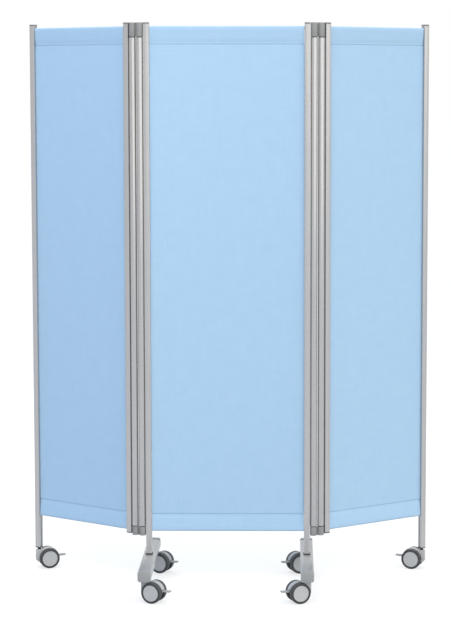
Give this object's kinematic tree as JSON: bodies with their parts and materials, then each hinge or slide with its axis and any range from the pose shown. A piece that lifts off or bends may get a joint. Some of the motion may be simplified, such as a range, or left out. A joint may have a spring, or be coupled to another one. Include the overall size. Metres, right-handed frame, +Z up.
{
  "type": "folding partition screen",
  "caption": "Folding partition screen with taut fabric panels between slim aluminium posts, link hinges, cross feet and castors with brake levers.",
  "frame": {"origin": "on the floor, under the middle of the screen's box as it stands half folded", "axes": "+X along the centre panel to the viewer's right, +Y towards the back where the wings fold to, +Z up"},
  "size_m": [1.2644, 0.478, 1.75],
  "materials": {
    "post": "brushed, clear anodised",
    "rail": "plain drawn rod",
    "fabric": "matt light-blue cloth, stretched flat",
    "cap": "fine matt",
    "block": "fine matt",
    "foot": "satin grey paint",
    "foot_cap": "satin moulded",
    "steel": "zinc plated",
    "wheel": "matt tread with a pale hub face",
    "hood": "satin moulded"
  },
  "bodies": {
    "centre_frame": {"centre_bottom_rail": "rail", "centre_fabric": "fabric", "centre_left_cap": "cap", "centre_left_post": "post", "centre_right_cap": "cap", "centre_right_post": "post", "centre_top_rail": "rail", "left_foot_bar": "foot", "left_foot_end_cap": "foot_cap", "right_foot_bar": "foot", "right_foot_end_cap": "foot_cap"},
    "left_link": {"left_hinge_top_block": "block", "left_hinge_bottom_block": "block"},
    "left_wing": {"left_wing_bottom_rail": "rail", "left_wing_fabric": "fabric", "left_wing_inner_cap": "cap", "left_wing_inner_post": "post", "left_wing_outer_cap": "cap", "left_wing_outer_post": "post", "left_wing_top_rail": "rail"},
    "right_link": {"right_hinge_top_block": "block", "right_hinge_bottom_block": "block"},
    "right_wing": {"right_wing_bottom_rail": "rail", "right_wing_fabric": "fabric", "right_wing_inner_cap": "cap", "right_wing_inner_post": "post", "right_wing_outer_cap": "cap", "right_wing_outer_post": "post", "right_wing_top_rail": "rail"},
    "left_front_castor": {"left_front_castor_hood": "hood", "left_front_castor_axle": "steel"},
    "left_front_wheel_a": {"left_front_castor_wheel_a": "wheel"},
    "left_front_wheel_b": {"left_front_castor_wheel_b": "wheel"},
    "left_front_brake": {"left_front_brake_lever": "hood"},
    "left_rear_castor": {"left_rear_castor_hood": "hood", "left_rear_castor_axle": "steel"},
    "left_rear_wheel_a": {"left_rear_castor_wheel_a": "wheel"},
    "left_rear_wheel_b": {"left_rear_castor_wheel_b": "wheel"},
    "left_rear_brake": {"left_rear_brake_lever": "hood"},
    "left_wing_castor": {"left_wing_castor_hood": "hood", "left_wing_castor_axle": "steel"},
    "left_wing_wheel_a": {"left_wing_castor_wheel_a": "wheel"},
    "left_wing_wheel_b": {"left_wing_castor_wheel_b": "wheel"},
    "left_wing_brake": {"left_wing_brake_lever": "hood"},
    "right_front_castor": {"right_front_castor_hood": "hood", "right_front_castor_axle": "steel"},
    "right_front_wheel_a": {"right_front_castor_wheel_a": "wheel"},
    "right_front_wheel_b": {"right_front_castor_wheel_b": "wheel"},
    "right_front_brake": {"right_front_brake_lever": "hood"},
    "right_rear_castor": {"right_rear_castor_hood": "hood", "right_rear_castor_axle": "steel"},
    "right_rear_wheel_a": {"right_rear_castor_wheel_a": "wheel"},
    "right_rear_wheel_b": {"right_rear_castor_wheel_b": "wheel"},
    "right_rear_brake": {"right_rear_brake_lever": "hood"},
    "right_wing_castor": {"right_wing_castor_hood": "hood", "right_wing_castor_axle": "steel"},
    "right_wing_wheel_a": {"right_wing_castor_wheel_a": "wheel"},
    "right_wing_wheel_b": {"right_wing_castor_wheel_b": "wheel"},
    "right_wing_brake": {"right_wing_brake_lever": "hood"}
  },
  "joints": [
    {"name": "left_centre_pivot", "type": "hinge", "parent": "centre_frame", "child": "left_link", "pos_m": [-0.2665, -0.01831, 0], "axis": [0, 0, 1], "range_deg": [-74, 106]},
    {"name": "left_wing_pivot", "type": "hinge", "parent": "left_link", "child": "left_wing", "pos_m": [-0.28861, -0.01197, 0], "axis": [0, 0, 1], "range_deg": [-74, 106]},
    {"name": "right_centre_pivot", "type": "hinge", "parent": "centre_frame", "child": "right_link", "pos_m": [0.2665, -0.01831, 0], "axis": [0, 0, 1], "range_deg": [-106, 74]},
    {"name": "right_wing_pivot", "type": "hinge", "parent": "right_link", "child": "right_wing", "pos_m": [0.28861, -0.01197, 0], "axis": [0, 0, 1], "range_deg": [-106, 74]},
    {"name": "left_front_castor_swivel", "type": "hinge", "parent": "centre_frame", "child": "left_front_castor", "pos_m": [-0.246, -0.19331, 0], "axis": [0, 0, 1], "continuous": true},
    {"name": "left_front_wheel_a_spin", "type": "hinge", "parent": "left_front_castor", "child": "left_front_wheel_a", "pos_m": [-0.21818, -0.20455, 0.0321], "axis": [0.3746, 0.9272, 0], "continuous": true},
    {"name": "left_front_wheel_b_spin", "type": "hinge", "parent": "left_front_castor", "child": "left_front_wheel_b", "pos_m": [-0.21818, -0.20455, 0.0321], "axis": [0.3746, 0.9272, 0], "continuous": true},
    {"name": "left_front_brake_press", "type": "hinge", "parent": "left_front_castor", "child": "left_front_brake", "pos_m": [-0.20242, -0.21092, 0.0364], "axis": [0.3746, 0.9272, 0], "range_deg": [0, 14]},
    {"name": "left_rear_castor_swivel", "type": "hinge", "parent": "centre_frame", "child": "left_rear_castor", "pos_m": [-0.246, 0.15669, 0], "axis": [0, 0, 1], "continuous": true},
    {"name": "left_rear_wheel_a_spin", "type": "hinge", "parent": "left_rear_castor", "child": "left_rear_wheel_a", "pos_m": [-0.21818, 0.14545, 0.0321], "axis": [0.3746, 0.9272, 0], "continuous": true},
    {"name": "left_rear_wheel_b_spin", "type": "hinge", "parent": "left_rear_castor", "child": "left_rear_wheel_b", "pos_m": [-0.21818, 0.14545, 0.0321], "axis": [0.3746, 0.9272, 0], "continuous": true},
    {"name": "left_rear_brake_press", "type": "hinge", "parent": "left_rear_castor", "child": "left_rear_brake", "pos_m": [-0.20242, 0.13908, 0.0364], "axis": [0.3746, 0.9272, 0], "range_deg": [0, 14]},
    {"name": "left_wing_castor_swivel", "type": "hinge", "parent": "left_wing", "child": "left_wing_castor", "pos_m": [-0.61977, 0.19496, 0], "axis": [0, 0, 1], "continuous": true},
    {"name": "left_wing_wheel_a_spin", "type": "hinge", "parent": "left_wing_castor", "child": "left_wing_wheel_a", "pos_m": [-0.59158, 0.20522, 0.0321], "axis": [-0.342, 0.9397, 0], "continuous": true},
    {"name": "left_wing_wheel_b_spin", "type": "hinge", "parent": "left_wing_castor", "child": "left_wing_wheel_b", "pos_m": [-0.59158, 0.20522, 0.0321], "axis": [-0.342, 0.9397, 0], "continuous": true},
    {"name": "left_wing_brake_press", "type": "hinge", "parent": "left_wing_castor", "child": "left_wing_brake", "pos_m": [-0.57561, 0.21104, 0.0364], "axis": [-0.342, 0.9397, 0], "range_deg": [0, 14]},
    {"name": "right_front_castor_swivel", "type": "hinge", "parent": "centre_frame", "child": "right_front_castor", "pos_m": [0.246, -0.19331, 0], "axis": [0, 0, 1], "continuous": true},
    {"name": "right_front_wheel_a_spin", "type": "hinge", "parent": "right_front_castor", "child": "right_front_wheel_a", "pos_m": [0.21818, -0.20455, 0.0321], "axis": [0.3746, -0.9272, 0], "continuous": true},
    {"name": "right_front_wheel_b_spin", "type": "hinge", "parent": "right_front_castor", "child": "right_front_wheel_b", "pos_m": [0.21818, -0.20455, 0.0321], "axis": [0.3746, -0.9272, 0], "continuous": true},
    {"name": "right_front_brake_press", "type": "hinge", "parent": "right_front_castor", "child": "right_front_brake", "pos_m": [0.20242, -0.21092, 0.0364], "axis": [0.3746, -0.9272, 0], "range_deg": [0, 14]},
    {"name": "right_rear_castor_swivel", "type": "hinge", "parent": "centre_frame", "child": "right_rear_castor", "pos_m": [0.246, 0.15669, 0], "axis": [0, 0, 1], "continuous": true},
    {"name": "right_rear_wheel_a_spin", "type": "hinge", "parent": "right_rear_castor", "child": "right_rear_wheel_a", "pos_m": [0.21818, 0.14545, 0.0321], "axis": [0.3746, -0.9272, 0], "continuous": true},
    {"name": "right_rear_wheel_b_spin", "type": "hinge", "parent": "right_rear_castor", "child": "right_rear_wheel_b", "pos_m": [0.21818, 0.14545, 0.0321], "axis": [0.3746, -0.9272, 0], "continuous": true},
    {"name": "right_rear_brake_press", "type": "hinge", "parent": "right_rear_castor", "child": "right_rear_brake", "pos_m": [0.20242, 0.13908, 0.0364], "axis": [0.3746, -0.9272, 0], "range_deg": [0, 14]},
    {"name": "right_wing_castor_swivel", "type": "hinge", "parent": "right_wing", "child": "right_wing_castor", "pos_m": [0.61977, 0.19496, 0], "axis": [0, 0, 1], "continuous": true},
    {"name": "right_wing_wheel_a_spin", "type": "hinge", "parent": "right_wing_castor", "child": "right_wing_wheel_a", "pos_m": [0.59158, 0.20522, 0.0321], "axis": [-0.342, -0.9397, 0], "continuous": true},
    {"name": "right_wing_wheel_b_spin", "type": "hinge", "parent": "right_wing_castor", "child": "right_wing_wheel_b", "pos_m": [0.59158, 0.20522, 0.0321], "axis": [-0.342, -0.9397, 0], "continuous": true},
    {"name": "right_wing_brake_press", "type": "hinge", "parent": "right_wing_castor", "child": "right_wing_brake", "pos_m": [0.57561, 0.21104, 0.0364], "axis": [-0.342, -0.9397, 0], "range_deg": [0, 14]}
  ]
}
